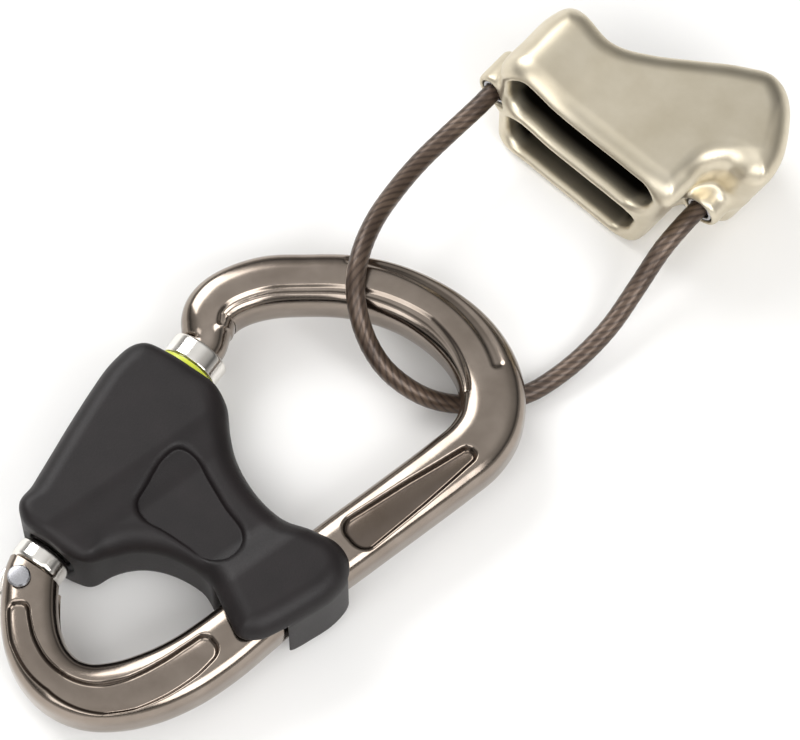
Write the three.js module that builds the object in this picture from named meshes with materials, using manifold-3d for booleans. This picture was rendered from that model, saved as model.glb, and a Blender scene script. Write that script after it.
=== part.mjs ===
// A belay set: a pear-shaped screwgate carabiner with a swinging plastic guard, and a tube
// belay device held on it by a loop of steel cable.  Millimetres, +Z up.  The set lies flat.
// +Y runs along the gate from hinge to nose, +X goes from the gate towards the spine, and the
// origin is on the guard's flat underside, below the middle of the gate.
import * as THREE from "three";
import { mergeVertices } from "three/addons/utils/BufferGeometryUtils.js";
import Module from "manifold-3d";

const wasm = await Module();
wasm.setup();

// ---- driving dimensions -------------------------------------------------------------------
const GAP = 0.3; // between touching pieces
const GUARD_HEIGHT = 21; // guard, flat underside to flat top
const GUARD_ROUND = 3; // edge rounding of the guard
const MID_Z = GUARD_HEIGHT / 2; // middle plane of the carabiner

const BAR_HEIGHT = 11; // forged bar, across the carabiner's flat
const BAR_SQUARENESS = 2.8; // 2 is an ellipse, larger is squarer
const BAR_SIDES = 16;
const BAR_STEPS = 84;
const OUTLINE_STEPS = { guard: 60, pocket: 36, tube: 48 };

const PIVOT_Y = -32; // gate pivot, from the origin
const GATE_RADIUS = 4.3;
const NOSE_RADIUS = GATE_RADIUS - 0.4;
const GATE_TOP_Y = 21.8;
const SHOULDER_Y = -28.2; // where the gate's shoulder meets the frame's ears
const GATE_SHOULDER_RADIUS = GATE_RADIUS + 1.2;
const GATE_SHOULDER_LENGTH = 4.4;
const TONGUE_THICKNESS = 4.4;
const TONGUE_HALF_WIDTH = 4.4;
const PIN_RADIUS = 1.2;
const PIN_HEAD_RADIUS = 2.2;
const PIN_HEAD_HEIGHT = 0.7;
const PLUNGER_RADIUS = 0.55;
const SPRING_WIRE = 0.2; // wire radius
const SPRING_RADIUS = 0.95; // to the wire's centre
const SPRING_BORE = SPRING_RADIUS + SPRING_WIRE + GAP;
const SPRING_COVER = 0.25; // gate wall left outside the spring's bore
const PLUNGER_OFFSET = GATE_RADIUS - SPRING_BORE - SPRING_COVER; // towards the spine
const SPRING_LENGTH = 20;
const SPRING_TURNS = 9;

const SLEEVE_WALL = 1.3;
const SLEEVE_CLEARANCE = 0.4; // sleeve on gate
const SLEEVE_LENGTH = 24.5;
const SLEEVE_TOP_Y = 26.6;
const SLEEVE_TRAVEL = 7.2;
const RING_WIDTH = 1;
const RING_PROUD = 0.12;
const RING_FROM_TOP = 5.6; // indicator ring, from the sleeve's nose end
const GUARD_CLEARANCE = 0.4; // guard on sleeve, and guard on gate
const SNAP_ROOM_INNER = 2; // guard to spine, on the side nearer the gate
const SNAP_ROOM_OUTER = 0.7;
const POCKET_DEPTH = 2.4;

const TUBE_HEIGHT = 34; // across both rope slots
const TUBE_ROUND = 2.8;
const TUBE_WALL = 3.2; // outer walls above and below the slots
const TUBE_DIVIDER = 2.6; // wall between the slots
const TUBE_PLACE = new THREE.Vector3(42, 98, 0);
const TUBE_TURN = THREE.MathUtils.degToRad(-7.8);
const SLOT_ROUND = 2.6;
const FLANK_LEAN = 0.28; // how far the right flank leans in, for each millimetre down
const LEAN_START_X = 0;
const LEAN_FULL_X = 14;
const BOSS_RADIUS = 4.2; // bosses that hold the cable's ends

const CABLE_RADIUS = 1.9;
const CABLE_STEPS = 40;
const CABLE_SIDES = 8;
const FERRULE_WALL = 0.7;
const FERRULE_LENGTH = 4;
const FERRULE_INSET = 0.4; // from the mouth of its boss

// ---- materials ----------------------------------------------------------------------------
const finish = (color, roughness, metalness) =>
  new THREE.MeshStandardMaterial({ color, roughness, metalness });
const TITANIUM_GREY = finish(0x8f8378, 0.28, 1);
const POLISHED = finish(0xe9e6e2, 0.15, 1);
const BLACK_NYLON = finish(0x2c2526, 0.5, 0);
const LIME = finish(0xd8e05a, 0.5, 0);
const SPRING_STEEL = finish(0xb8b8bb, 0.3, 1);
const CHAMPAGNE = finish(0xd3cab5, 0.3, 1);
const BRONZED_CABLE = finish(0x6b5a4d, 0.45, 1);

// ---- helpers ------------------------------------------------------------------------------
function solid(geometry) {
  const g = geometry.clone();
  g.deleteAttribute("normal");
  g.deleteAttribute("uv");
  const merged = mergeVertices(g, 1e-4);
  return new wasm.Manifold(
    new wasm.Mesh({
      numProp: 3,
      vertProperties: merged.attributes.position.array,
      triVerts: new Uint32Array(merged.index.array),
    }),
  );
}

function geometryOf(manifold) {
  const mesh = manifold.getMesh();
  const g = new THREE.BufferGeometry();
  g.setAttribute("position", new THREE.BufferAttribute(new Float32Array(mesh.vertProperties), 3));
  g.setIndex(new THREE.BufferAttribute(new Uint32Array(mesh.triVerts), 1));
  return g;
}

function named(name, geometry, material) {
  const mesh = new THREE.Mesh(geometry, material);
  mesh.name = name;
  return mesh;
}

// A round bar along Y, centred on (x, z), from y0 to y1.
function rodY(radius, y0, y1, x = 0, z = MID_Z, sides = 24) {
  const g = new THREE.CylinderGeometry(radius, radius, y1 - y0, sides);
  return g.translate(x, (y0 + y1) / 2, z);
}

// A round bar along Z, centred on (x, y), from z0 to z1.
function rodZ(radius, z0, z1, x, y, sides = 20) {
  const g = new THREE.CylinderGeometry(radius, radius, z1 - z0, sides);
  return g.rotateX(Math.PI / 2).translate(x, y, (z0 + z1) / 2);
}

function block(x0, x1, y0, y1, z0, z1) {
  const g = new THREE.BoxGeometry(x1 - x0, y1 - y0, z1 - z0);
  return g.translate((x0 + x1) / 2, (y0 + y1) / 2, (z0 + z1) / 2);
}

// A profile of [radius, y] pairs turned about the gate's axis.
function turned(profile, sides = 28) {
  const points = profile.map(([r, y]) => new THREE.Vector2(r, y));
  return new THREE.LatheGeometry(points, sides).translate(0, 0, MID_Z);
}

// A closed outline through [x, y] points, as a smooth curve cut into the given steps.
function smoothShape(points, steps) {
  const at = points.map(([x, y]) => new THREE.Vector3(x, y, 0));
  const curve = new THREE.CatmullRomCurve3(at, true, "centripetal");
  const round = curve.getPoints(steps).slice(0, -1);
  return new THREE.Shape(round.map((p) => new THREE.Vector2(p.x, p.y)));
}

// A plate from z0 to z1 whose long edges are rounded inwards by round.
function plate(shape, z0, z1, round, segments = 3) {
  const g = new THREE.ExtrudeGeometry(shape, {
    depth: z1 - z0 - 2 * round,
    bevelEnabled: round > 0,
    bevelThickness: round,
    bevelSize: round,
    bevelOffset: -round,
    bevelSegments: segments,
    curveSegments: 8,
  });
  return g.translate(0, 0, z0 + round);
}

// A bar lofted along a flat route of [x, y, width, height] stations.
function bar(stations, steps) {
  const route = new THREE.CatmullRomCurve3(
    stations.map(([x, y]) => new THREE.Vector3(x, y, 0)), false, "centripetal");
  const sizes = new THREE.CatmullRomCurve3(
    stations.map(([, , w, h]) => new THREE.Vector3(w, h, 0)), false, "catmullrom", 0.2);
  const positions = [];
  for (let i = 0; i <= steps; i++) {
    const t = i / steps;
    const at = route.getPoint(t);
    const along = route.getTangent(t);
    const size = sizes.getPoint(t);
    for (let k = 0; k < BAR_SIDES; k++) {
      const a = (2 * Math.PI * k) / BAR_SIDES;
      const power = 2 / BAR_SQUARENESS;
      const across = Math.sign(Math.cos(a)) * Math.abs(Math.cos(a)) ** power * size.x / 2;
      const up = Math.sign(Math.sin(a)) * Math.abs(Math.sin(a)) ** power * size.y / 2;
      positions.push(at.x + along.y * across, at.y - along.x * across, MID_Z + up);
    }
  }
  const index = [];
  for (let i = 0; i < steps; i++) {
    for (let k = 0; k < BAR_SIDES; k++) {
      const a = i * BAR_SIDES + k;
      const b = i * BAR_SIDES + ((k + 1) % BAR_SIDES);
      index.push(a, a + BAR_SIDES, b, b, a + BAR_SIDES, b + BAR_SIDES);
    }
  }
  const last = steps * BAR_SIDES;
  for (let k = 1; k < BAR_SIDES - 1; k++) {
    index.push(0, k, k + 1, last, last + k + 1, last + k);
  }
  const g = new THREE.BufferGeometry();
  g.setAttribute("position", new THREE.Float32BufferAttribute(positions, 3));
  g.setIndex(index);
  return g;
}

// ---- forged frame: x, y, width, height along the bar from nose to hinge ---------------------
const SPRING_BORE_Y = SHOULDER_Y + 6;
const NOSE_SIZE = 2 * NOSE_RADIUS;
const FRAME_ROUTE = [
  [0, GATE_TOP_Y + 0.6, NOSE_SIZE, NOSE_SIZE],
  [0, 24.6, NOSE_SIZE, NOSE_SIZE],
  [0, SLEEVE_TOP_Y + 1.5, NOSE_SIZE, NOSE_SIZE],
  [-1.4, 30.6, 9.6, 10.2],
  [-2.5, 33.6, 10, BAR_HEIGHT],
  [-2.3, 36.8, 10, BAR_HEIGHT],
  [-0.6, 40.4, 10.2, BAR_HEIGHT],
  [3, 44.9, 10.7, BAR_HEIGHT],
  [8.4, 49.5, 11.1, BAR_HEIGHT],
  [15.2, 53.9, 11.4, BAR_HEIGHT],
  [22.2, 56.7, 11.7, BAR_HEIGHT],
  [29.4, 58, 11.9, BAR_HEIGHT],
  [36.8, 57.8, 12.3, BAR_HEIGHT],
  [43.2, 56.2, 12.5, BAR_HEIGHT],
  [48.6, 53.2, 12.6, BAR_HEIGHT],
  [52.4, 49.2, 12.7, BAR_HEIGHT],
  [54.6, 44.4, 12.8, BAR_HEIGHT],
  [54.9, 39.2, 12.8, BAR_HEIGHT],
  [53.4, 33.1, 12.7, BAR_HEIGHT],
  [49.9, 21.5, 12.6, BAR_HEIGHT],
  [46.1, 9.3, 12.6, BAR_HEIGHT],
  [42.7, -2.3, 12.2, BAR_HEIGHT],
  [40.1, -13.5, 12.2, BAR_HEIGHT],
  [38, -21.4, 12.6, BAR_HEIGHT],
  [35.4, -28.4, 12.8, BAR_HEIGHT],
  [32, -34.4, 12.8, BAR_HEIGHT],
  [28, -39.2, 12.4, BAR_HEIGHT],
  [23.4, -42.6, 11.8, BAR_HEIGHT],
  [18.6, -43.8, 11.3, BAR_HEIGHT],
  [13.9, -43, 11.2, BAR_HEIGHT],
  [9.7, -40.7, 11.3, BAR_HEIGHT],
  [6.2, -37.4, 11.3, BAR_HEIGHT],
  [3.2, -33.4, 11.2, BAR_HEIGHT],
  [1.1, -29.8, 11, BAR_HEIGHT],
  [0.2, PIVOT_Y + 4.8, 10.8, 10.6],
];

// The frame's foot is split into two ears for the gate's tongue and ends where the gate starts.
function frameBody() {
  const tongueRoom = TONGUE_THICKNESS / 2 + GAP;
  const slotEnd = PIVOT_Y - TONGUE_HALF_WIDTH - 1.6;
  const earEnd = SHOULDER_Y - GAP;
  const reach = BAR_HEIGHT + 1;
  return solid(bar(FRAME_ROUTE, BAR_STEPS))
    .subtract(solid(block(-reach, reach, slotEnd, earEnd, MID_Z - tongueRoom, MID_Z + tongueRoom)))
    .subtract(solid(block(-reach, reach, earEnd, earEnd + 6, 0, GUARD_HEIGHT)))
    .subtract(solid(rodZ(PIN_RADIUS + GAP, -1, GUARD_HEIGHT + 1, 0, PIVOT_Y)));
}

// ---- gate and the pieces inside it ----------------------------------------------------------
function gateBody() {
  const top = SHOULDER_Y + GATE_SHOULDER_LENGTH;
  const body = turned([
    [0, SHOULDER_Y],
    [GATE_SHOULDER_RADIUS - 1, SHOULDER_Y],
    [GATE_SHOULDER_RADIUS, SHOULDER_Y + 1],
    [GATE_SHOULDER_RADIUS, top - 1.2],
    [GATE_RADIUS, top],
    [GATE_RADIUS, GATE_TOP_Y - 0.8],
    [GATE_RADIUS - 0.8, GATE_TOP_Y],
    [0, GATE_TOP_Y],
  ]);
  const half = TONGUE_THICKNESS / 2;
  const width = TONGUE_HALF_WIDTH;
  return solid(body)
    .add(solid(block(-width, width, PIVOT_Y, SHOULDER_Y + 1, MID_Z - half, MID_Z + half)))
    .add(solid(rodZ(width, MID_Z - half, MID_Z + half, 0, PIVOT_Y, 24)))
    .subtract(solid(rodZ(PIN_RADIUS + GAP, -1, GUARD_HEIGHT + 1, 0, PIVOT_Y)))
    .subtract(solid(rodY(PLUNGER_RADIUS + GAP, PIVOT_Y - 9, SPRING_BORE_Y + 1, PLUNGER_OFFSET)))
    .subtract(solid(rodY(SPRING_BORE, SPRING_BORE_Y,
      SPRING_BORE_Y + SPRING_LENGTH + 3, PLUNGER_OFFSET)));
}

function pivotPin() {
  const reach = BAR_HEIGHT / 2 + GAP;
  const head = PIN_HEAD_HEIGHT;
  const ends = [-1, 1].map((side) => {
    const z0 = MID_Z + side * reach;
    const z1 = z0 + side * head;
    return solid(rodZ(PIN_HEAD_RADIUS, Math.min(z0, z1), Math.max(z0, z1), 0, PIVOT_Y));
  });
  const shank = solid(rodZ(PIN_RADIUS, MID_Z - reach - 0.1, MID_Z + reach + 0.1, 0, PIVOT_Y));
  return shank.add(ends[0]).add(ends[1]);
}

class Helix extends THREE.Curve {
  getPoint(t, target = new THREE.Vector3()) {
    const a = 2 * Math.PI * SPRING_TURNS * t;
    const x = PLUNGER_OFFSET + SPRING_RADIUS * Math.cos(a);
    const y = SPRING_BORE_Y + 1.6 + SPRING_LENGTH * t;
    return target.set(x, y, MID_Z + SPRING_RADIUS * Math.sin(a));
  }
}

// A round section swept along a curve.
function swept(curve, radius, steps, sides) {
  const ring = new THREE.Shape();
  for (let k = 0; k < sides; k++) {
    const a = (2 * Math.PI * (k + 0.5)) / sides;
    ring[k ? "lineTo" : "moveTo"](radius * Math.cos(a), radius * Math.sin(a));
  }
  return new THREE.ExtrudeGeometry(ring, { steps, extrudePath: curve, bevelEnabled: false });
}

function plunger() {
  const foot = PIVOT_Y - 3.4;
  const head = SPRING_BORE_Y + GAP;
  return solid(rodY(PLUNGER_RADIUS, foot, head + 0.4, PLUNGER_OFFSET, MID_Z, 12))
    .add(solid(rodY(PLUNGER_RADIUS + 0.5, head, head + 0.9, PLUNGER_OFFSET, MID_Z, 12)));
}

// ---- screw sleeve and its indicator ring ------------------------------------------------------
const SLEEVE_INNER = GATE_RADIUS + SLEEVE_CLEARANCE;
const SLEEVE_OUTER = SLEEVE_INNER + SLEEVE_WALL;
const RING_MID_Y = SLEEVE_TOP_Y - RING_FROM_TOP;
const RING_GROOVE = 0.75; // depth of the ring's groove in the sleeve

function screwSleeve() {
  const floor = SLEEVE_OUTER - RING_GROOVE;
  const half = RING_WIDTH / 2 + GAP;
  return turned([
    [SLEEVE_INNER, SLEEVE_TOP_Y - SLEEVE_LENGTH],
    [SLEEVE_OUTER, SLEEVE_TOP_Y - SLEEVE_LENGTH],
    [SLEEVE_OUTER, RING_MID_Y - half],
    [floor, RING_MID_Y - half],
    [floor, RING_MID_Y + half],
    [SLEEVE_OUTER, RING_MID_Y + half],
    [SLEEVE_OUTER, SLEEVE_TOP_Y - 0.8],
    [SLEEVE_OUTER - 0.8, SLEEVE_TOP_Y],
    [SLEEVE_INNER, SLEEVE_TOP_Y],
    [SLEEVE_INNER, SLEEVE_TOP_Y - SLEEVE_LENGTH],
  ]);
}

function indicatorRing() {
  const inner = SLEEVE_OUTER - RING_GROOVE + GAP;
  const outer = SLEEVE_OUTER + RING_PROUD;
  const half = RING_WIDTH / 2;
  return turned([
    [inner, RING_MID_Y - half],
    [outer, RING_MID_Y - half],
    [outer, RING_MID_Y + half],
    [inner, RING_MID_Y + half],
    [inner, RING_MID_Y - half],
  ]);
}

// ---- plastic guard --------------------------------------------------------------------------
const GUARD_OUTLINE = [
  [-8.4, -20.8], [-9.2, -16], [-10.2, -9], [-11.1, -2], [-11.9, 6], [-12, 12], [-10.9, 17],
  [-7.8, 19.8], [-3, 20.6], [3, 20.6], [8.6, 20.2], [12.4, 18.2], [15.6, 14.6], [19.6, 10.9],
  [24.4, 8.1], [29.6, 6.3], [35, 5.7], [40.6, 6.5], [46, 6.9], [49.8, 5.2], [52.2, 1.6],
  [52.4, -3], [50.9, -8.4], [48.7, -13.4], [46, -17], [42.4, -17.9], [38, -15.8], [33, -13.8],
  [28.4, -12.8], [23.6, -12.6], [18.8, -13.6], [14.8, -15.8], [11.7, -19.2], [9.3, -22.8],
  [6, -23.9], [0, -24], [-5.4, -23.6],
];
const POCKET_OUTLINE = [
  [9.4, 1.6], [10.6, 4.9], [14, 5.4], [19, 3.4], [25.6, 0.6], [31.6, -1.6], [33.4, -4.6],
  [32.4, -8.4], [29, -10], [24.4, -9.8], [18.8, -9.8], [13.2, -10], [10.4, -8.4], [9.8, -4.4],
];
const SLEEVE_BORE_Y = SLEEVE_TOP_Y - SLEEVE_LENGTH - SLEEVE_TRAVEL - 1.5;

function guardShell() {
  const spine = FRAME_ROUTE.filter(([x, y]) => x > 30 && y < 32 && y > -33);
  const inner = spine.map(([x, y, w]) => [x - w / 2 - SNAP_ROOM_INNER, y]);
  const outer = spine.map(([x, y, w]) => [x + w / 2 + SNAP_ROOM_OUTER, y]);
  const edge = [...inner, ...outer.reverse()];
  const band = new THREE.Shape(edge.map(([x, y]) => new THREE.Vector2(x, y)));
  const channelTop = MID_Z + BAR_HEIGHT / 2 + GAP + 0.3;
  const pocket = smoothShape(POCKET_OUTLINE, OUTLINE_STEPS.pocket);
  return solid(plate(smoothShape(GUARD_OUTLINE, OUTLINE_STEPS.guard), 0, GUARD_HEIGHT, GUARD_ROUND, 4))
    .subtract(solid(plate(band, -1, channelTop, 0)))
    .subtract(solid(rodY(SLEEVE_OUTER + GUARD_CLEARANCE, SLEEVE_BORE_Y, SLEEVE_TOP_Y + 4)))
    .subtract(solid(rodY(GATE_RADIUS + GUARD_CLEARANCE, PIVOT_Y, SLEEVE_BORE_Y + 1)))
    .subtract(solid(rodY(GATE_SHOULDER_RADIUS + GUARD_CLEARANCE, PIVOT_Y,
      SHOULDER_Y + GATE_SHOULDER_LENGTH + 1)))
    .subtract(solid(plate(pocket, GUARD_HEIGHT - POCKET_DEPTH, GUARD_HEIGHT + 3, 0)))
    .subtract(solid(plate(pocket, -3, POCKET_DEPTH, 0)));
}

// ---- tube belay device, in its own frame: x along the slots, y through them -------------------
const TUBE_OUTLINE = [
  [-22, 0.4], [-14, 0], [-4, 0], [6, 0], [16, 0.2], [20.6, 1.6], [21.4, 7], [21.4, 12],
  [23.8, 15], [28, 15.2], [31.2, 17], [31, 22.4], [27.8, 29], [23, 34.6], [17.2, 37], [11, 34.4],
  [3, 29.4], [-5, 24.4], [-12, 21.2], [-19, 21.6], [-23.2, 20.4], [-25, 16.4], [-25.2, 9], [-25, 3],
];
const SLOT_OUTLINE = [
  [-21.6, -4], [17.4, -4], [17.6, 7], [18.6, 12.8], [22.4, 18.4], [26.4, 21.6], [23, 29],
  [19, 42], [-21.6, 42],
];
const SLOT_HEIGHT = (TUBE_HEIGHT - 2 * TUBE_WALL - TUBE_DIVIDER) / 2;
const SLOT_BASES = [TUBE_WALL, TUBE_WALL + SLOT_HEIGHT + TUBE_DIVIDER];
const BOSSES = [
  { name: "left", x: -25.6, mouth: 1.4, back: 13, z: 17 },
  { name: "right", x: 20, mouth: 10, back: 19, z: 14 },
];

// Leans the right flank inwards towards the tube's underside, walls and slots alike.
function leaned(geometry) {
  const at = geometry.attributes.position;
  for (let i = 0; i < at.count; i++) {
    const share = THREE.MathUtils.smoothstep(at.getX(i), LEAN_START_X, LEAN_FULL_X);
    at.setX(i, at.getX(i) - FLANK_LEAN * (TUBE_HEIGHT - at.getZ(i)) * share);
  }
  return geometry;
}

function tubeBody() {
  let body = solid(leaned(plate(smoothShape(TUBE_OUTLINE, OUTLINE_STEPS.tube), 0, TUBE_HEIGHT, TUBE_ROUND, 4)));
  for (const boss of BOSSES) {
    body = body.add(solid(rodY(BOSS_RADIUS, boss.mouth, boss.back, boss.x, boss.z, 20)));
  }
  const slot = new THREE.Shape(SLOT_OUTLINE.map(([x, y]) => new THREE.Vector2(x, y)));
  for (const base of SLOT_BASES) {
    body = body.subtract(solid(leaned(plate(slot, base, base + SLOT_HEIGHT, SLOT_ROUND, 3))));
  }
  const bore = CABLE_RADIUS + GAP + FERRULE_WALL + GAP;
  for (const boss of BOSSES) {
    const end = boss.mouth + FERRULE_INSET + FERRULE_LENGTH + 1.6;
    const front = boss.mouth - 20;
    body = body
      .subtract(solid(rodY(bore, boss.mouth - 1, end, boss.x, boss.z, 20)))
      .subtract(solid(rodY(CABLE_RADIUS + 1.3, front, boss.mouth, boss.x, boss.z, 20)));
  }
  return body;
}

// A crimped collar round each end of the cable, just inside its boss.
function ferrule(boss) {
  const inner = CABLE_RADIUS + GAP;
  const outer = inner + FERRULE_WALL;
  const y0 = boss.mouth + FERRULE_INSET;
  const y1 = y0 + FERRULE_LENGTH;
  const profile = [[inner, y0], [outer, y0], [outer, y1], [inner, y1], [inner, y0]];
  const points = profile.map(([r, y]) => new THREE.Vector2(r, y));
  return new THREE.LatheGeometry(points, 16).translate(boss.x, 0, boss.z);
}

// ---- keeper cable, from the left boss over the bow, under it, and back to the right boss -------
const CABLE_ROUTE = [
  [17.5, 107.8, 17], [16.8, 102.9, 17], [16.2, 98.3, 16.9], [14.7, 90.6, 16.4],
  [13.4, 82.2, 16.4], [13.2, 73.6, 17.4], [14, 65.2, 19], [16, 57.6, 19.9],
  [18.6, 52, 18.8], [22.2, 48, 16], [26.4, 45.5, 12], [30.8, 44.3, 9], [35.8, 44.5, 6.2],
  [40.5, 45.9, 3.8], [45.3, 48.6, 2.4], [50.5, 52.9, 2.1], [55, 58.3, 2.1],
  [57.4, 63.5, 2.5], [59.5, 70.3, 3.5], [60.8, 78, 5], [61.2, 87, 8],
  [61.7, 94.2, 12], [62.5, 100.1, 13.7], [63.2, 105.1, 14], [63.8, 109.6, 14],
];

function keeperCable() {
  const points = CABLE_ROUTE.map((p) => new THREE.Vector3(...p));
  const curve = new THREE.CatmullRomCurve3(points, false, "centripetal");
  return swept(curve, CABLE_RADIUS, CABLE_STEPS, CABLE_SIDES);
}

// ---- assembly -------------------------------------------------------------------------------
const carabiner = new THREE.Group();
carabiner.add(
  named("frame_body", geometryOf(frameBody()), TITANIUM_GREY),
  named("gate", geometryOf(gateBody()), POLISHED),
  named("gate_pivot_pin", geometryOf(pivotPin()), SPRING_STEEL),
  named("gate_spring", swept(new Helix(), SPRING_WIRE, SPRING_TURNS * 10, 6), SPRING_STEEL),
  named("gate_plunger", geometryOf(plunger()), SPRING_STEEL),
  named("screw_sleeve", screwSleeve(), POLISHED),
  named("indicator_ring", indicatorRing(), LIME),
  named("guard_clip", geometryOf(guardShell()), BLACK_NYLON),
);

const device = new THREE.Group();
device.position.copy(TUBE_PLACE);
device.rotation.z = TUBE_TURN;
device.add(named("tube_body", geometryOf(tubeBody()), CHAMPAGNE));
for (const boss of BOSSES) {
  device.add(named(`cable_ferrule_${boss.name}`, ferrule(boss), SPRING_STEEL));
}

const belaySet = new THREE.Group();
belaySet.add(carabiner, device, named("keeper_cable", keeperCable(), BRONZED_CABLE));

export default belaySet;
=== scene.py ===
import math
import bpy
import numpy as np
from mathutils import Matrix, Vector


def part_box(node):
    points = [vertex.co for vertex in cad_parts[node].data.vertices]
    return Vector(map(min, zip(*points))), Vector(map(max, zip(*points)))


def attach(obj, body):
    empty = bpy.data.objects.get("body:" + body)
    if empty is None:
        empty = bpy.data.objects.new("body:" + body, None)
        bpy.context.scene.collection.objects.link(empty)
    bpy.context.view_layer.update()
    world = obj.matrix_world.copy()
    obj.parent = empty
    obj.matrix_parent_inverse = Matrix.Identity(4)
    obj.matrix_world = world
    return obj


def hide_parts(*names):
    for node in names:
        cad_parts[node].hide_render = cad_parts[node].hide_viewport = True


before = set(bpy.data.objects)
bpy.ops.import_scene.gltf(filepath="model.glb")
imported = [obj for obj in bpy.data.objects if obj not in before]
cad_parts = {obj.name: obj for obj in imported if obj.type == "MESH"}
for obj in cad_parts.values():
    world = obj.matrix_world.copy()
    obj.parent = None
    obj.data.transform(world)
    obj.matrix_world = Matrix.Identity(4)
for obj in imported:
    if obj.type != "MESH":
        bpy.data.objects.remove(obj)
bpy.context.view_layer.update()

# The set is worked out in millimetres, and each mesh is scaled to metres as it is made.
MM = 0.001
DETAIL = 1.0


def corners(node):
    """The lowest and highest corner of a CAD node, in millimetres."""
    low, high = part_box(node)
    return np.array(low) / MM, np.array(high) / MM


# ---- sizes taken from the frame ----------------------------------------------
sleeve_low, sleeve_high = corners("screw_sleeve")
ring_low, ring_high = corners("indicator_ring")
RING_SHIFT = np.array([0, 0.4, 0])  # draws the ring just clear of the guard's end
ring_low, ring_high = ring_low + RING_SHIFT, ring_high + RING_SHIFT
gate_low, gate_high = corners("gate")
guard_low, guard_high = corners("guard_clip")
pin_low, pin_high = corners("gate_pivot_pin")
MID_Z = (guard_low[2] + guard_high[2]) / 2
SLEEVE_RADIUS = (sleeve_high[0] - sleeve_low[0]) / 2
PIVOT_X, PIVOT_Y = (pin_low[:2] + pin_high[:2]) / 2
TUBE_HEIGHT = corners("tube_body")[1][2]

# ---- sizes that a box doesn't tell, as in the CAD model ----------------------
GAP = 0.3
BAR_HEIGHT = 11.0
GATE_RADIUS = 4.3
GATE_SHOULDER_RADIUS = 5.5
GATE_SHOULDER_LENGTH = 4.4
SHOULDER_Y = -28.2
TONGUE_THICKNESS = 4.4
TONGUE_HALF_WIDTH = 4.4
PIN_RADIUS = 1.2
SLEEVE_CLEARANCE = 0.4
GUARD_CLEARANCE = 0.4
SNAP_ROOM_INNER = 2.0
SNAP_ROOM_OUTER = 0.7
CABLE_RADIUS = 1.9
FERRULE_WALL = 0.7
NOSE_RADIUS = GATE_RADIUS - 0.4
SLEEVE_TRAVEL = 7.2  # three turns of the thread
SLEEVE_ROOM = 1.5  # between the unscrewed sleeve and the end of its bore

# ---- how finely the pieces are made, in millimetres --------------------------
CURVE_SAMPLES = 40  # points between two points of a route, when the route is measured
OUTLINE_SAMPLES = 8  # the same, for an outline
GATE_CELL = 0.28
GUARD_CELL = 0.32
TUBE_CELL = 0.34
SKIN_MARGIN = 1.0  # room round a piece for its distance field
SLOPE_REACH = 0.02  # how far each side of a point its field's slope is measured

# ---- camera ------------------------------------------------------------------
VIEW_TARGET = (33.54, 45.28, 10.0)  # the middle of the picture, at half the height
VIEW_AZIMUTH = 34.25  # degrees
VIEW_ELEVATION = 66.0
VIEW_WIDTH = 153.85  # what the picture takes in at the target, across
LENS = 200.0
SENSOR = 36.0
CLIP_END = 10.0  # metres


def make_camera():
    data = bpy.data.cameras.new("camera")
    data.lens = LENS
    data.sensor_width = SENSOR
    data.clip_end = CLIP_END
    camera = bpy.data.objects.new("camera", data)
    bpy.context.scene.collection.objects.link(camera)
    turn, lift = math.radians(VIEW_AZIMUTH), math.radians(VIEW_ELEVATION)
    back = Vector((math.sin(turn) * math.cos(lift), -math.cos(turn) * math.cos(lift), math.sin(lift)))
    camera.location = (Vector(VIEW_TARGET) + back * VIEW_WIDTH * LENS / SENSOR) * MM
    camera.rotation_mode = "QUATERNION"
    camera.rotation_quaternion = back.to_track_quat("Z", "Y")
    bpy.context.scene.camera = camera


# ---- curves ------------------------------------------------------------------
def smooth_line(points, per_span=12, closed=False):
    """A centripetal Catmull-Rom curve through the points."""
    p = np.array(points, float)
    if closed:
        p = np.vstack([p[-1], p, p[0], p[1]])
    else:
        p = np.vstack([2 * p[0] - p[1], p, 2 * p[-1] - p[-2]])
    pieces = []
    for i in range(1, len(p) - 2):
        p0, p1, p2, p3 = p[i - 1 : i + 3]
        t1 = np.linalg.norm(p1 - p0) ** 0.5
        t2 = t1 + np.linalg.norm(p2 - p1) ** 0.5
        t3 = t2 + np.linalg.norm(p3 - p2) ** 0.5
        t = np.linspace(t1, t2, per_span, endpoint=False)[:, None]
        a1 = ((t1 - t) * p0 + t * p1) / t1
        a2 = ((t2 - t) * p1 + (t - t1) * p2) / (t2 - t1)
        a3 = ((t3 - t) * p2 + (t - t2) * p3) / (t3 - t2)
        b1 = ((t2 - t) * a1 + t * a2) / t2
        b2 = ((t3 - t) * a2 + (t - t1) * a3) / (t3 - t1)
        pieces.append(((t2 - t) * b1 + (t - t1) * b2) / (t2 - t1))
    if not closed:
        pieces.append(p[-2][None])
    return np.vstack(pieces)


def along(line):
    """The length along a line up to each of its points."""
    return np.concatenate([[0], np.cumsum(np.linalg.norm(np.diff(line, axis=0), axis=1))])


def even_line(points, step):
    """The smooth curve through the points, cut into even steps, with its length at each."""
    line = smooth_line(points, CURVE_SAMPLES)
    length = along(line)
    at = np.linspace(0, length[-1], int(length[-1] / step) + 1)
    return np.stack([np.interp(at, length, line[:, k]) for k in range(line.shape[1])], 1), at


def blend(x, low, high):
    """0 below low, 1 above high, and a smooth step between."""
    t = np.clip((x - low) / (high - low), 0, 1)
    return t * t * (3 - 2 * t)


# ---- meshes ------------------------------------------------------------------
def mesh_object(name, points, faces):
    """A smooth-shaded mesh object in the scene, from points in millimetres."""
    mesh = bpy.data.meshes.new(name)
    mesh.from_pydata((np.asarray(points) * MM).tolist(), [], faces)
    mesh.shade_smooth()
    mesh.update()
    piece = bpy.data.objects.new(name, mesh)
    bpy.context.scene.collection.objects.link(piece)
    return piece


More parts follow.
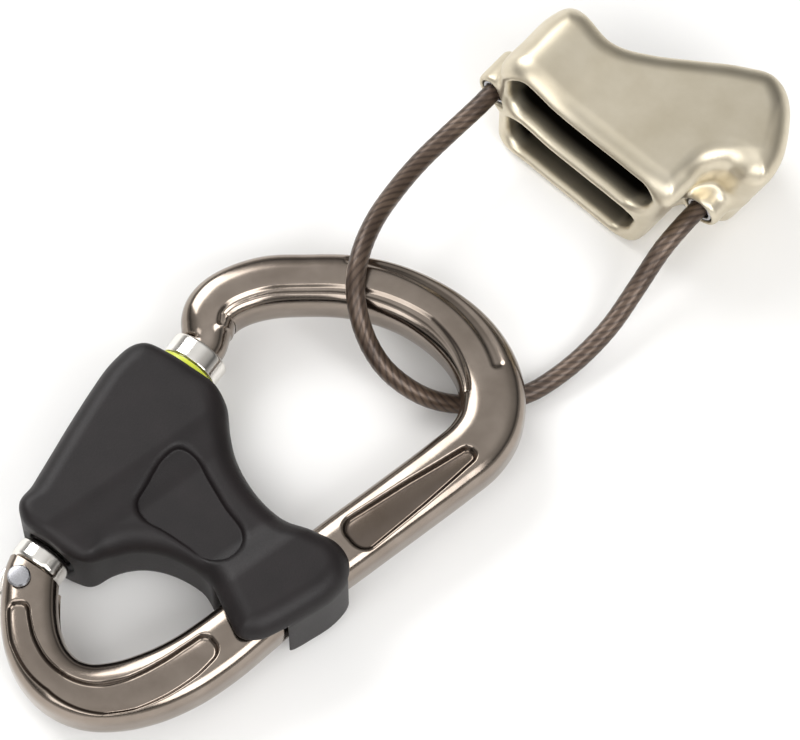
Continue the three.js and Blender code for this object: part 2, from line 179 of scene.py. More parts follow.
def mesh_points(piece):
    """The points of a piece's mesh, in metres."""
    points = np.empty(len(piece.data.vertices) * 3)
    piece.data.vertices.foreach_get("co", points)
    return points.reshape(-1, 3)


def set_painted_shade_mask(piece, values):
    """Stores the painted-shade mask, one value a vertex, that the piece's material darkens its colour
    by.
    """
    mask = piece.data.attributes.new("inside", "FLOAT", "POINT")
    mask.data.foreach_set("value", np.ascontiguousarray(values, np.float32))


def loft(name, rings, ends=True):
    """A closed skin over rings of points, each ring anticlockwise seen from the far end."""
    count, sides = rings.shape[:2]
    i = np.arange(count - 1 if ends else count)[:, None] * sides
    k = np.arange(sides)[None]
    nxt = (i + sides) % (count * sides)
    k2 = (k + 1) % sides
    faces = np.stack([i + k, nxt + k, nxt + k2, i + k2], -1).reshape(-1, 4).tolist()
    if ends:
        faces.append(list(range(sides)))
        faces.append([(count - 1) * sides + s for s in reversed(range(sides))])
    return mesh_object(name, rings.reshape(-1, 3), faces)


def lathe(name, profile, axis_x, axis_z, sides=160, ripple=None):
    """A closed profile of [radius, y] turned about a line along Y."""
    profile = np.array(profile, float)
    angle = np.linspace(0, 2 * math.pi, int(sides / DETAIL), endpoint=False)
    radius = np.repeat(profile[:, 0][None], len(angle), 0)
    if ripple is not None:
        radius = radius + ripple(angle[:, None], profile[None, :, 0], profile[None, :, 1])
    y = np.repeat(profile[:, 1][None], len(angle), 0)
    x = axis_x + radius * np.cos(angle)[:, None]
    z = axis_z + radius * np.sin(angle)[:, None]
    return loft(name, np.stack([x, y, z], -1), ends=False)


def rounded_profile(points, radius, steps=5):
    """A closed [radius, y] profile with its corners rounded."""
    p = np.array(points, float)
    out = []
    for i in range(len(p)):
        before, at, after = p[i - 1], p[i], p[(i + 1) % len(p)]
        a, b = before - at, after - at
        la, lb = np.linalg.norm(a), np.linalg.norm(b)
        r = min(radius, 0.45 * la, 0.45 * lb)  # short of the middle of the edge, so corners stay apart
        start, end = at + a / la * r, at + b / lb * r
        for t in np.linspace(0, 1, steps):
            out.append((1 - t) ** 2 * start + 2 * t * (1 - t) * at + t * t * end)
    return np.array(out)


def skin(name, field, low, high, cell):
    """A closed mesh over the surface where field(x, y, z) is 0, negative inside.

    Each cell that the surface crosses gets one point, and each crossed edge between cells one face.
    """
    cell = cell * DETAIL
    low, high = np.array(low, float), np.array(high, float)
    counts = np.ceil((high - low) / cell).astype(int) + 1
    ax = [low[k] + cell * np.arange(counts[k]) for k in range(3)]
    values = field(ax[0][:, None, None], ax[1][None, :, None], ax[2][None, None, :])
    values = np.broadcast_to(values, counts)
    inside = values < 0
    filled = np.zeros(counts - 1, int)
    for dx in (0, 1):
        for dy in (0, 1):
            for dz in (0, 1):
                end = counts - 1 + (dx, dy, dz)
                filled += inside[dx : end[0], dy : end[1], dz : end[2]]
    crossed = (filled > 0) & (filled < 8)
    cells = np.argwhere(crossed)
    number = np.full(crossed.shape, -1)
    number[crossed] = np.arange(len(cells))

    total, hits = np.zeros((len(cells), 3)), np.zeros(len(cells))
    for axis in range(3):
        unit = np.eye(3, dtype=int)[axis]
        others = [k for k in range(3) if k != axis]
        for p in (0, 1):
            for q in (0, 1):
                offset = np.zeros(3, int)
                offset[others] = (p, q)
                a = values[tuple((cells + offset).T)]
                b = values[tuple((cells + offset + unit).T)]
                cut = (a < 0) != (b < 0)
                t = np.where(cut, a / np.where(cut, a - b, 1), 0)
                total += np.where(cut[:, None], offset + t[:, None] * unit, 0)
                hits += cut
    points = low + cell * (cells + total / hits[:, None])
    # Three passes draw each point onto the surface, none of them by more than 0.6 of a cell
    for _ in range(3):
        value = field(*points.T)
        slope = np.stack([
            (field(*(points + SLOPE_REACH * e).T) - field(*(points - SLOPE_REACH * e).T))
            / (2 * SLOPE_REACH)
            for e in np.eye(3)
        ], 1)
        step = slope * (value / np.maximum((slope**2).sum(1), 0.05))[:, None]
        length = np.linalg.norm(step, axis=1) + 1e-9
        points = points - step * np.minimum(1, 0.6 * cell / length)[:, None]

    faces = []
    for axis in range(3):
        e1, e2 = np.eye(3, dtype=int)[(axis + 1) % 3], np.eye(3, dtype=int)[(axis + 2) % 3]
        span = [slice(1, counts[k] - 1) for k in range(3)]
        span[axis] = slice(0, counts[axis] - 1)
        ahead = list(span)
        ahead[axis] = slice(1, counts[axis])
        change = inside[tuple(span)] != inside[tuple(ahead)]
        at = np.argwhere(change) + [s.start for s in span]
        around = [number[tuple((at - d).T)] for d in (0 * e1, e1, e1 + e2, e2)]
        quads = np.stack(around, 1)
        leaving = inside[tuple(at.T)]
        quads[~leaving] = quads[~leaving][:, ::-1]
        faces.append(quads)
    return mesh_object(name, points, np.vstack(faces).tolist())


# ---- distance fields ---------------------------------------------------------
def soft_min(a, b, k):
    """The smaller of two distances, with the corner between them softened over k millimetres."""
    h = np.maximum(k - np.abs(a - b), 0) / k
    return np.minimum(a, b) - h * h * k / 4


def soft_max(a, b, k):
    """The larger of two distances, softened in the same way."""
    return -soft_min(-a, -b, k)


def outline_distance(line, margin=10.0, pitch=0.4):
    """The distance to a closed outline, negative inside, as a smooth function of x and y."""
    line = np.array(line, float)
    low = line.min(0) - margin
    counts = np.ceil((line.max(0) + margin - low) / pitch).astype(int) + 1
    gx = (low[0] + pitch * np.arange(counts[0]))[:, None]
    gy = (low[1] + pitch * np.arange(counts[1]))[None]
    nearest = np.full(counts, np.inf)
    inside = np.zeros(counts, bool)
    for (x0, y0), (x1, y1) in zip(line, np.roll(line, -1, 0)):
        ex, ey = x1 - x0, y1 - y0
        t = np.clip(((gx - x0) * ex + (gy - y0) * ey) / (ex * ex + ey * ey), 0, 1)
        nearest = np.minimum(nearest, (gx - x0 - t * ex) ** 2 + (gy - y0 - t * ey) ** 2)
        if y0 != y1:
            inside ^= ((y0 > gy) != (y1 > gy)) & (gx < x0 + (gy - y0) * ex / ey)
    table = np.where(inside, -1, 1) * np.sqrt(nearest)

    def weights(f):
        """Of the four table points round a place, for a cubic B-spline."""
        return ((1 - f) ** 3 / 6, (3 * f**3 - 6 * f**2 + 4) / 6,
                (-3 * f**3 + 3 * f**2 + 3 * f + 1) / 6, f**3 / 6)

    def distance(x, y):
        x, y = np.broadcast_arrays(x, y)
        u = np.clip((x - low[0]) / pitch, 1, counts[0] - 3.001)
        v = np.clip((y - low[1]) / pitch, 1, counts[1] - 3.001)
        i, j = u.astype(int), v.astype(int)
        wu, wv = weights(u - i), weights(v - j)
        total = 0
        for m in range(4):
            for n in range(4):
                total = total + wu[m] * wv[n] * table[i - 1 + m, j - 1 + n]
        return total

    return distance


def rounded(u, w, r):
    """Where the two distances u and w are both negative, with the edge between them rounded."""
    outside = np.hypot(np.maximum(u + r, 0), np.maximum(w + r, 0))
    return np.minimum(np.maximum(u, w) + r, 0) + outside - r


def rod_y(x, y, z, radius, y0, y1, cx=0.0, cz=None, r=0.3):
    """A round rod along Y from y0 to y1, on the gate's axis unless another is given."""
    cz = MID_Z if cz is None else cz
    return rounded(np.hypot(x - cx, z - cz) - radius, np.maximum(y0 - y, y - y1), r)


# ---- materials ---------------------------------------------------------------
def colour(r, g, b):
    """A screen colour, 0 to 255, as the linear one that a shader takes."""
    linear = [((c / 255 + 0.055) / 1.055) ** 2.4 if c > 10 else c / 255 / 12.92 for c in (r, g, b)]
    return (*linear, 1)


def finish(name, dark, light, roughness, metallic=0.0, grain=4000, grain_depth=0.02,
           roughness_spread=0.06, stretch=(1, 1, 1), mottle=150, **sockets):
    """A material whose colour, roughness and surface vary a little, as a real finish does."""
    material = bpy.data.materials.new(name)
    material.use_nodes = True
    nodes, links = material.node_tree.nodes, material.node_tree.links
    shader = nodes["Principled BSDF"]
    shader.inputs["Metallic"].default_value = metallic
    for socket, value in sockets.items():
        shader.inputs[socket.replace("_", " ")].default_value = value
    place = nodes.new("ShaderNodeTexCoord")
    spread = nodes.new("ShaderNodeMapping")
    spread.inputs["Scale"].default_value = stretch
    links.new(place.outputs["Object"], spread.inputs["Vector"])

    broad = nodes.new("ShaderNodeTexNoise")
    broad.inputs["Scale"].default_value = mottle
    broad.inputs["Detail"].default_value = 5
    links.new(place.outputs["Object"], broad.inputs["Vector"])
    tint = nodes.new("ShaderNodeValToRGB")
    tint.color_ramp.elements[0].color = dark
    tint.color_ramp.elements[0].position = 0.3
    tint.color_ramp.elements[1].color = light
    tint.color_ramp.elements[1].position = 0.7
    links.new(broad.outputs["Fac"], tint.inputs["Fac"])
    links.new(tint.outputs["Color"], shader.inputs["Base Color"])

    fine = nodes.new("ShaderNodeTexNoise")
    fine.inputs["Scale"].default_value = grain
    fine.inputs["Detail"].default_value = 4
    links.new(spread.outputs["Vector"], fine.inputs["Vector"])
    gloss = nodes.new("ShaderNodeMapRange")
    gloss.inputs["To Min"].default_value = roughness - roughness_spread
    gloss.inputs["To Max"].default_value = roughness + roughness_spread
    links.new(fine.outputs["Fac"], gloss.inputs["Value"])
    links.new(gloss.outputs["Result"], shader.inputs["Roughness"])
    bump = nodes.new("ShaderNodeBump")
    bump.inputs["Strength"].default_value = 1
    bump.inputs["Distance"].default_value = grain_depth * MM
    links.new(fine.outputs["Fac"], bump.inputs["Height"])
    links.new(bump.outputs["Normal"], shader.inputs["Normal"])
    return material


def shade_inside(material, dark):
    """Paints shade into the material's colour: blends it towards dark where the mesh's "inside" mask is
    1.
    """
    nodes, links = material.node_tree.nodes, material.node_tree.links
    shader = nodes["Principled BSDF"]
    mask = nodes.new("ShaderNodeAttribute")
    mask.attribute_name = "inside"
    mixed = nodes.new("ShaderNodeMixRGB")
    mixed.inputs["Color2"].default_value = dark
    links.new(mask.outputs["Fac"], mixed.inputs["Fac"])
    links.new(shader.inputs["Base Color"].links[0].from_socket, mixed.inputs["Color1"])
    links.new(mixed.outputs["Color"], shader.inputs["Base Color"])


ANODISED = finish("anodised_grey", colour(136, 125, 115), colour(154, 143, 133), 0.17, 1,
                  grain=2500, grain_depth=0.001, roughness_spread=0.04)
POLISHED = finish("polished_alloy", colour(226, 222, 216), colour(240, 237, 232), 0.16, 1,
                  grain=2500, grain_depth=0.001, stretch=(1, 6, 1), roughness_spread=0.05)
STEEL = finish("spring_steel", colour(160, 160, 164), colour(186, 186, 190), 0.26, 1,
               grain=3000, grain_depth=0.002)
LIME = finish("lime_band", colour(214, 224, 60), colour(226, 236, 84), 0.4, 0,
              grain=3000, grain_depth=0.004)
NYLON = finish("black_nylon", colour(20, 16, 17), colour(27, 22, 23), 0.48, 0,
               grain=3200, grain_depth=0.03, roughness_spread=0.07, Specular_IOR_Level=0.32)
CHAMPAGNE = finish("champagne_alloy", colour(206, 196, 174), colour(218, 209, 189), 0.4, 1,
                   grain=5000, grain_depth=0.003, roughness_spread=0.06)
CABLE = finish("bronzed_cable", colour(76, 61, 51), colour(112, 94, 80), 0.42, 0.6,
               grain=5000, grain_depth=0.004, Coat_Weight=0.3, Coat_Roughness=0.25)

# Painted shade: the tube's slots, the frame's recesses and the cable's grooves are darkened in the
# colour by their masks
shade_inside(CHAMPAGNE, colour(38, 33, 26))
shade_inside(ANODISED, colour(78, 67, 59))
shade_inside(CABLE, colour(44, 34, 28))


def settle(piece, body, slot, material, *nodes):
    """Gives a piece its material and its body, and hides what it stands for. The slot argument is not
    used.
    """
    piece.data.materials.clear()
    piece.data.materials.append(material)
    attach(piece, body)
    if nodes:
        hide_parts(*nodes)
    return piece


# ---- keeper cable ------------------------------------------------------------
CABLE_ROUTE = [
    [17.5, 107.8, 17], [16.8, 102.9, 17], [16.2, 98.3, 16.9], [14.7, 90.6, 16.4], [13.4, 82.2, 16.4],
    [13.2, 73.6, 17.4], [14, 65.2, 19], [16, 57.6, 19.9], [18.6, 52, 18.8], [22.2, 48, 16],
    [26.4, 45.5, 12], [30.8, 44.3, 9], [35.8, 44.5, 6.2], [40.5, 45.9, 3.8], [45.3, 48.6, 2.4],
    [50.5, 52.9, 2.1], [55, 58.3, 2.1], [57.4, 63.5, 2.5], [59.5, 70.3, 3.5], [60.8, 78, 5],
    [61.2, 87, 8], [61.7, 94.2, 12], [62.5, 100.1, 13.7], [63.2, 105.1, 14], [63.8, 109.6, 14],
]
CABLE_STEP = 0.35
CABLE_SIDES = 96
STRANDS = 8
STRAND_LAY = 17.0  # length of one turn of the strands
STRAND_GROOVE = 0.045
WIRES = 4  # ridges on each strand
WIRE_TURN = 1.9  # turns of the wires for each turn of the strands
WIRE_GROOVE = 0.015
WIRE_SHADE = 0.35  # how dark the painted shade in the grooves between wires is beside that between strands


def across(line):
    """Two unit vectors across a line at each point, turning as little as they can along it."""
    tangent = np.gradient(line, axis=0)
    tangent /= np.linalg.norm(tangent, axis=1)[:, None]
    side = np.cross(tangent[0], [0, 0, 1.0])
    sides = []
    for t in tangent:
        side = side - t * side.dot(t)
        side = side / np.linalg.norm(side)
        sides.append(side)
    sides = np.array(sides)
    return sides, np.cross(tangent, sides)


def make_cable():
    """The laid cable, with its middle line and its length."""
    line, length = even_line(CABLE_ROUTE, CABLE_STEP * DETAIL)
    side, up = across(line)
    angle = np.linspace(0, 2 * math.pi, CABLE_SIDES, endpoint=False)[None]
    twist = 2 * math.pi * length[:, None] / STRAND_LAY
    strand = np.abs(np.cos((angle - twist) * STRANDS / 2))
    wire = np.abs(np.cos((angle - twist * WIRE_TURN) * STRANDS * WIRES / 2))
    radius = CABLE_RADIUS - STRAND_GROOVE * (1 - strand) - WIRE_GROOVE * (1 - wire)
    ring = radius[..., None] * (
        side[:, None] * np.cos(angle)[..., None] + up[:, None] * np.sin(angle)[..., None])
    piece = loft("cable_strands", (line[:, None] + ring)[:, ::-1])
    # Painted shade: the grooves between strands, and less so those between wires, are darkened in the
    # colour
    painted_groove_shade = np.clip((1 - strand) ** 2 + WIRE_SHADE * (1 - wire) ** 2, 0, 1)
    set_painted_shade_mask(piece, painted_groove_shade[:, ::-1].ravel())
    settle(piece, "tube", "bronzed_cable", CABLE, "keeper_cable")
    return piece, line, length[-1]


# ---- forged frame ------------------------------------------------------------
NOSE = 2 * NOSE_RADIUS
BAR = BAR_HEIGHT
# x, y, width and height of the bar, from the nose round the bow, the spine and the small eye
FRAME_ROUTE = [
    [0, 22.4, NOSE, NOSE], [0, 24.6, NOSE, NOSE], [0, 28.1, NOSE, NOSE],
    [-1.5, 30.6, 10.4, 10.2], [-2.8, 33.6, 11, BAR], [-2.6, 36.8, 11, BAR],
    [-0.9, 40.6, 11.1, BAR], [2.8, 45.2, 11.4, BAR], [8.4, 49.5, 11.1, BAR],
    [15.2, 53.9, 11.4, BAR], [22.2, 56.7, 11.7, BAR], [29.4, 58, 11.9, BAR],
    [36.8, 57.8, 12.3, BAR], [43.2, 56.2, 12.5, BAR], [48.6, 53.2, 12.6, BAR],
    [52.4, 49.2, 12.7, BAR], [54.6, 44.4, 12.8, BAR], [54.9, 39.2, 12.8, BAR],
    [53.4, 33.1, 12.7, BAR], [49.9, 21.5, 12.6, BAR], [46.1, 9.3, 12.6, BAR],
    [42.7, -2.3, 12.2, BAR], [40.1, -13.5, 12.2, BAR], [38, -21.4, 12.6, BAR],
    [35.4, -28.4, 12.8, BAR], [32, -34.4, 12.8, BAR], [28, -39.2, 12.4, BAR],
    [23.4, -42.6, 11.8, BAR], [18.6, -43.8, 11.3, BAR], [13.9, -43, 11.2, BAR],
    [9.7, -40.7, 11.3, BAR], [6.2, -37.4, 11.3, BAR], [3.2, -33.4, 11.2, BAR],
    [1.1, -29.8, 11, BAR], [0.2, -27.2, 10.8, 10.6],
]
BAR_STEP = 0.25
BAR_SIDES = 260
BAR_TRIM = 0.1  # taken off the width, so that the smooth bar stays inside the faceted CAD
BAR_SOFTENING = 3.0  # length over which its width and height are averaged
BAR_ASPECT = 1.1  # width to height of the section that its points are spaced for
NOSE_SQUARENESS = 2.2  # of the section: 2 is an ellipse, and more is squarer
BAR_SQUARENESS = 3.2
NOSE_TO_BAR = (6, 16)  # where along the bar the one turns into the other
FACE_EDGE = (0.55, 0.85)  # of the half height: from the bar's rounded sides to its broad faces
# Each recess follows the bar: distance along it, middle across it (inwards is positive), half width
SPINE_POCKET = [[93.4, -1.2, 1.5], [107, -0.9, 2.8], [122.8, -0.7, 3.8]]
EYE_POCKET = [[155.2, 0.5, 2.4], [161, -0.2, 3], [167, -0.9, 3.1], [173, -1.6, 3], [178, -1.8, 2.8],
              [187, -1.1, 2.1], [197, -1.9, 2.1], [203.4, -1.9, 1.8]]
INNER_FLUTE = [[9, 2.7, 0.4], [20, 2.95, 0.55], [42, 2.95, 0.6], [60, 3.2, 0.8], [72, 4.5, 0.6],
               [80, 5.1, 0.4]]
OUTER_FLUTE = [[40, -3.5, 0.7], [50, -3.4, 0.9], [62, -2.9, 1], [76, -1.9, 1.1]]
# path, depth, tilt of the floor, width of the wall, and how dark the painted shade makes the floor and
# the wall
RECESSES = [
    (SPINE_POCKET, 1.2, 0.2, 1.2, 0.65, 1),
    (EYE_POCKET, 1.1, 0.15, 1.1, 0.15, 0.8),
    (INNER_FLUTE, 0.5, 0, 1.0, 0, 0),
    (OUTER_FLUTE, 0.42, 0, 1.3, 0, 0),
]
EAR_CUT = 12  # half the width of the cutters for the ears
EAR_REACH = 6  # how far they go past the pin and past the ears' end


def recess(path, s, u, wall):
    """How far each point is inside a recess, from 0 to 1 on its floor, and how far off its middle.

    s is the distance along the bar, u the one across it, and wall the width of the recess's wall.
    """
    path = np.array(path)
    middle = np.interp(s, path[:, 0], path[:, 1])
    half = np.interp(s, path[:, 0], path[:, 2])
    ends = np.maximum(path[0, 0] - s, s - path[-1, 0])
    edge = rounded(np.abs(u - middle) - half, ends, 0.8 * half)
    return blend(-edge, -wall / 2, wall / 2), (u - middle) / half


def even_angles(count, square, aspect):
    """Angles that space the points of a superellipse evenly along its edge."""
    angle = np.linspace(0, 2 * math.pi, 4001)
    cos, sin = np.cos(angle), np.sin(angle)
    edge = np.stack([aspect * np.sign(cos) * np.abs(cos) ** (2 / square),
                     np.sign(sin) * np.abs(sin) ** (2 / square)], 1)
    length = along(edge)
    return np.interp(np.linspace(0, length[-1], count, endpoint=False), length, angle)


def make_frame():
    """The forged bar: a superellipse lofted along the route, with its recesses and slotted ears."""
    plan, length = even_line([p[:2] for p in FRAME_ROUTE], BAR_STEP * DETAIL)
    fine = smooth_line([p[:2] for p in FRAME_ROUTE], CURVE_SAMPLES)
    stations = along(fine)[::CURVE_SAMPLES]
    width = np.interp(length, stations, [p[2] for p in FRAME_ROUTE])
    height = np.interp(length, stations, [p[3] for p in FRAME_ROUTE])
    soften = np.ones(int(BAR_SOFTENING / BAR_STEP / DETAIL))
    soften /= len(soften)
    pad = len(soften)
    width = width - BAR_TRIM
    width, height = [
        np.convolve(np.pad(v, pad, mode="edge"), soften, "same")[pad:-pad] for v in (width, height)]
    tangent = np.gradient(plan, axis=0)
    tangent /= np.linalg.norm(tangent, axis=1)[:, None]
    inwards = np.stack([tangent[:, 1], -tangent[:, 0]], 1)

    angle = even_angles(int(BAR_SIDES / DETAIL), BAR_SQUARENESS, BAR_ASPECT)[None]
    s = length[:, None]
    square = NOSE_SQUARENESS + (BAR_SQUARENESS - NOSE_SQUARENESS) * blend(s, *NOSE_TO_BAR)
    cos, sin = np.cos(angle), np.sin(angle)
    u = np.sign(cos) * np.abs(cos) ** (2 / square) * width[:, None] / 2
    v = np.sign(sin) * np.abs(sin) ** (2 / square) * height[:, None] / 2
    face = blend(np.abs(v) / (height[:, None] / 2), *FACE_EDGE)
    sink, shade = 0, 0
    for path, depth, tilt, wall, floor_shade, wall_shade in RECESSES:
        inside, off_middle = recess(path, s, u, wall)
        sink = sink + inside * (depth + tilt * off_middle)
        on_wall = 4 * inside * (1 - inside)
        shade = shade + inside * floor_shade + on_wall * (wall_shade - floor_shade)
    v = v - np.sign(v) * sink * face
    x = plan[:, :1] + inwards[:, :1] * u
    y = plan[:, 1:] + inwards[:, 1:] * u
    piece = loft("forged_frame", np.stack([x, y, MID_Z + v], -1))
    # Painted shade: the recesses' floors and walls are darkened in the colour, on the broad faces only
    set_painted_shade_mask(piece, (shade * face).ravel())
    cut_ears(piece)
    return settle(piece, "frame", "anodised_frame", ANODISED, "frame_body")


def box_object(name, low, high):
    """A box between two corners, to cut with."""
    low, high = np.array(low, float), np.array(high, float)
    points = [[(low, high)[i][0], (low, high)[j][1], (low, high)[k][2]]
              for i in (0, 1) for j in (0, 1) for k in (0, 1)]
    faces = [[0, 1, 3, 2], [4, 6, 7, 5], [0, 4, 5, 1], [2, 3, 7, 6], [0, 2, 6, 4], [1, 5, 7, 3]]
    return mesh_object(name, points, faces)


def cut_away(piece, cutter):
    """Cuts one closed mesh out of another, for good."""
    change = piece.modifiers.new("cut", "BOOLEAN")
    change.operation = "DIFFERENCE"
    change.solver = "EXACT"
    change.object = cutter
    result = bpy.data.meshes.new_from_object(piece.evaluated_get(bpy.context.evaluated_depsgraph_get()))
    piece.modifiers.clear()
    piece.data = result
    bpy.data.objects.remove(cutter)


def cut_ears(piece):
    """Opens the slot for the gate's tongue, and trims the ears below the gate's shoulder."""
    room = TONGUE_THICKNESS / 2 + GAP
    ear_end = SHOULDER_Y - GAP
    slot_low = (-EAR_CUT, PIVOT_Y - EAR_REACH, MID_Z - room)
    slot_high = (EAR_CUT, ear_end, MID_Z + room)
    cut_away(piece, box_object("slot", slot_low, slot_high))
    trim_low = (-EAR_CUT, ear_end, -1)
    trim_high = (EAR_CUT, ear_end + EAR_REACH, 2 * MID_Z + 1)
    cut_away(piece, box_object("trim", trim_low, trim_high))
    piece.data.set_sharp_from_angle(angle=math.radians(40))


# ---- gate, pin, sleeve and ring ----------------------------------------------
def gate_field(x, y, z):
    """The gate: a rod with a wider shoulder, and a flat tongue that turns on the pin."""
    top = SHOULDER_Y + GATE_SHOULDER_LENGTH
    away = np.hypot(x, z - MID_Z)
    shoulder = rounded(away - GATE_SHOULDER_RADIUS, np.maximum(SHOULDER_Y - y, y - top), 1.1)
    rod = rounded(away - GATE_RADIUS, np.maximum(SHOULDER_Y - y, y - gate_high[1]), 0.9)
    half = TONGUE_THICKNESS / 2
    flat = np.maximum(
        np.maximum(np.abs(x) - TONGUE_HALF_WIDTH, np.maximum(PIVOT_Y - y, y - SHOULDER_Y - 1)),
        np.abs(z - MID_Z) - half)
    eye = rounded(np.hypot(x - PIVOT_X, y - PIVOT_Y) - TONGUE_HALF_WIDTH, np.abs(z - MID_Z) - half, 0.4)
    body = soft_min(soft_min(shoulder, rod, 0.8), soft_min(flat, eye, 0.2), 0.5)
    hole = np.hypot(x - PIVOT_X, y - PIVOT_Y) - PIN_RADIUS - GAP
    return soft_max(body, -hole, 0.2)


def make_gate():
    margin = 0.6
    piece = skin("gate_body", gate_field, gate_low - margin, gate_high + margin, GATE_CELL)
    return settle(piece, "frame", "polished_alloy", POLISHED, "gate")


RIVET_HEAD = 0.7  # height of each of the pin's heads


def make_pin():
    """A rivet through the hinge: a shank and two low domed heads, turned about Z."""
    head, shank = (pin_high[0] - pin_low[0]) / 2, PIN_RADIUS
    neck = pin_high[2] - RIVET_HEAD - MID_Z
    top = pin_high[2] - MID_Z
    # radius and height, from the middle of the shank to the top of a head
    half = [[shank, 0], [shank, neck], [head, neck], [head, neck + 0.3], [head - 0.3, top - 0.1],
            [head * 0.5, top], [0.01, top]]
    profile = np.array([[r, -h] for r, h in reversed(half[1:])] + half)
    angle = np.linspace(0, 2 * math.pi, 64, endpoint=False)[:, None]
    x = PIVOT_X + profile[None, :, 0] * np.cos(angle)
    y = PIVOT_Y + profile[None, :, 0] * np.sin(angle)
    z = np.broadcast_to(MID_Z + profile[None, :, 1], x.shape)
    rings = np.stack([x, y, z], -1).transpose(1, 0, 2)
    piece = loft("pivot_rivet", rings[:, ::-1])
    piece.data.set_sharp_from_angle(angle=math.radians(35))
    return settle(piece, "frame", "spring_steel", STEEL, "gate_pivot_pin")


KNURL_TEETH = 36
KNURL_DEPTH = 0.28
GROOVE_DEPTH = 0.75  # of the ring's groove in the sleeve
SLEEVE_SIDES = 288
SLEEVE_STEP = 0.3  # between the points of its profile


def make_sleeve():
    """The knurled collar, with the ring's groove round it."""
    low, high = sleeve_low[1], sleeve_high[1]
    inner = GATE_RADIUS + SLEEVE_CLEARANCE
    floor = SLEEVE_RADIUS - GROOVE_DEPTH
    groove_low, groove_high = ring_low[1] - GAP, ring_high[1] + GAP
    corner = rounded_profile([
        [inner, low], [SLEEVE_RADIUS, low], [SLEEVE_RADIUS, groove_low], [floor, groove_low],
        [floor, groove_high], [SLEEVE_RADIUS, groove_high], [SLEEVE_RADIUS, high], [inner, high],
    ], 0.7)
    closed = np.vstack([corner, corner[:1]])
    length = along(closed)
    at = np.linspace(0, length[-1], int(length[-1] / SLEEVE_STEP), endpoint=False)
    at = np.union1d(at, length[:-1])
    profile = np.stack([np.interp(at, length, closed[:, k]) for k in (0, 1)], 1)

    def knurl(angle, radius, y):
        """Teeth on the outside only, fading out at the sleeve's end and short of the groove."""
        outside = blend(radius, SLEEVE_RADIUS - 0.2, SLEEVE_RADIUS - 0.05)
        covered = blend(y, low + 1, low + 2) * (1 - blend(y, groove_low - 2.5, groove_low - 1.5))
        teeth = 0.5 - 0.5 * np.cos(angle * KNURL_TEETH)
        return -KNURL_DEPTH * teeth * outside * covered

    piece = lathe("sleeve_collar", profile[::-1], 0, MID_Z, SLEEVE_SIDES, knurl)
    return settle(piece, "sleeve", "polished_alloy", POLISHED, "screw_sleeve")


def make_ring():
    inner = SLEEVE_RADIUS - GROOVE_DEPTH + GAP
    outer = (ring_high[0] - ring_low[0]) / 2
    y0, y1 = ring_low[1], ring_high[1]
    profile = rounded_profile([[inner, y0], [outer, y0], [outer, y1], [inner, y1]], 0.25)
    piece = lathe("lime_ring", profile[::-1], 0, MID_Z)
    return settle(piece, "sleeve_carrier", "lime_band", LIME, "indicator_ring")


# ---- moulded guard -----------------------------------------------------------
GUARD_OUTLINE = [
    [-8, -20.8], [-8.6, -16], [-9.4, -9], [-10.2, -2], [-10.9, 6], [-11.1, 12], [-10.2, 16.6],
    [-7.6, 19.4], [-3, 20.2], [3, 20.2], [8.6, 19.8], [12.4, 18], [15.6, 14.4], [19.6, 10.7],
    [24.4, 7.9], [29.6, 6.1], [35, 5.5], [40.6, 6.3], [46, 6.7], [49.6, 5], [51.6, 1.6],
    [51.4, -3], [49.4, -8.4], [47, -13.8], [44.6, -17.6], [41.2, -19.2], [37.4, -17.4], [33, -14.8],
    [28.4, -12.6], [23.6, -12.4], [18.8, -13.4], [14.8, -15.6], [11.7, -19], [9.3, -22.6],
    [6, -23.7], [0, -23.8], [-5.2, -23.4],
]
GUARD_POCKET = [
    [9.4, 1.6], [10.6, 4.9], [14, 5.4], [18.6, 3.2], [24.4, 0.4], [29.8, -1.8], [31.4, -4.6],
    [30.4, -8.2], [27.4, -9.8], [23, -9.8], [18.2, -9.8], [13.2, -10], [10.4, -8.4], [9.8, -4.4],
]
GUARD_TRIM = 0.06  # taken off the outline, so that the smooth guard stays inside the faceted CAD
WEB_DISH = 1.9  # how far the web lies below the barrel
WEB_LEAN = 0.33  # how far the web's edges move in x for each millimetre in y
WEB_START = (6, 15)  # x where the web falls away from the barrel, at y = 0
WEB_END = (31, 39)  # and where it rises again to the channel
BARREL_MIDDLE_Y = -0.7
BARREL_END = (15, 21)  # distance from there over which the barrel's edges get sharper
BARREL_SIDE = (8, 13)  # x over which that stops
EDGE_ROUND = 4.6
BARREL_END_ROUND = 2.2  # how much less the edges are rounded at the barrel's ends
POCKET_DEPTH = 1.3
CHANNEL_ROOM = 0.3  # above the bar, on top of the usual gap
SLEEVE_BORE_Y = sleeve_low[1] - SLEEVE_TRAVEL - SLEEVE_ROOM
PAST_GUARD = 40  # a distance along Y that is outside the guard


def guard_channel():
    """The outline of the channel that snaps over the spine."""
    spine = [p for p in FRAME_ROUTE if p[0] > 30 and -33 < p[1] < 32]  # from the eye to the bow
    inner = [[x - w / 2 - SNAP_ROOM_INNER, y] for x, y, w, _ in spine]
    outer = [[x + w / 2 + SNAP_ROOM_OUTER, y] for x, y, w, _ in spine]
    return inner + outer[::-1]


